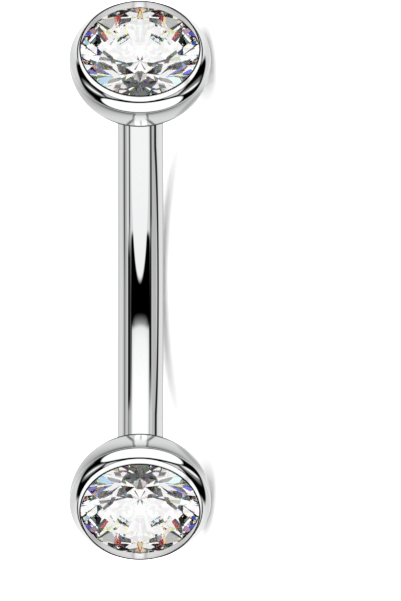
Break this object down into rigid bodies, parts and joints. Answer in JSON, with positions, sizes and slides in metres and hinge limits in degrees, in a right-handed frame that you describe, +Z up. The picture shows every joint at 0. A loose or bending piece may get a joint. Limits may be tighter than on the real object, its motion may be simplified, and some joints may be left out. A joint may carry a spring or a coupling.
{
  "type": "belly button ring",
  "caption": "Curved barbell of round steel bar with a clear round stone bezel-set in a screw-on ball at each end, worn through a piercing.",
  "frame": {"origin": "middle of the box's base, on the surface that the piece lies on", "axes": "+X along the chord of the bar towards the top ball, -Y towards the hollow side of the bend, +Z up"},
  "size_m": [0.0198, 0.0084, 0.0049],
  "materials": {
    "polished_steel": "mirror-polished surgical steel",
    "clear_stone": "clear faceted cubic zirconia"
  },
  "bodies": {
    "bar": {"curved_bar": "polished_steel"},
    "top_end": {"top_ball": "polished_steel", "top_stone": "clear_stone"},
    "bottom_end": {"bottom_ball": "polished_steel", "bottom_stone": "clear_stone"}
  },
  "joints": [
    {"name": "top_ball_unscrew", "type": "slide", "parent": "bar", "child": "top_end", "axis": [0.6, -0.7683, 0.2228], "range_m": [0, 0.012]},
    {"name": "bottom_ball_unscrew", "type": "slide", "parent": "bar", "child": "bottom_end", "axis": [-0.6, -0.7683, 0.2228], "range_m": [0, 0.012]}
  ]
}
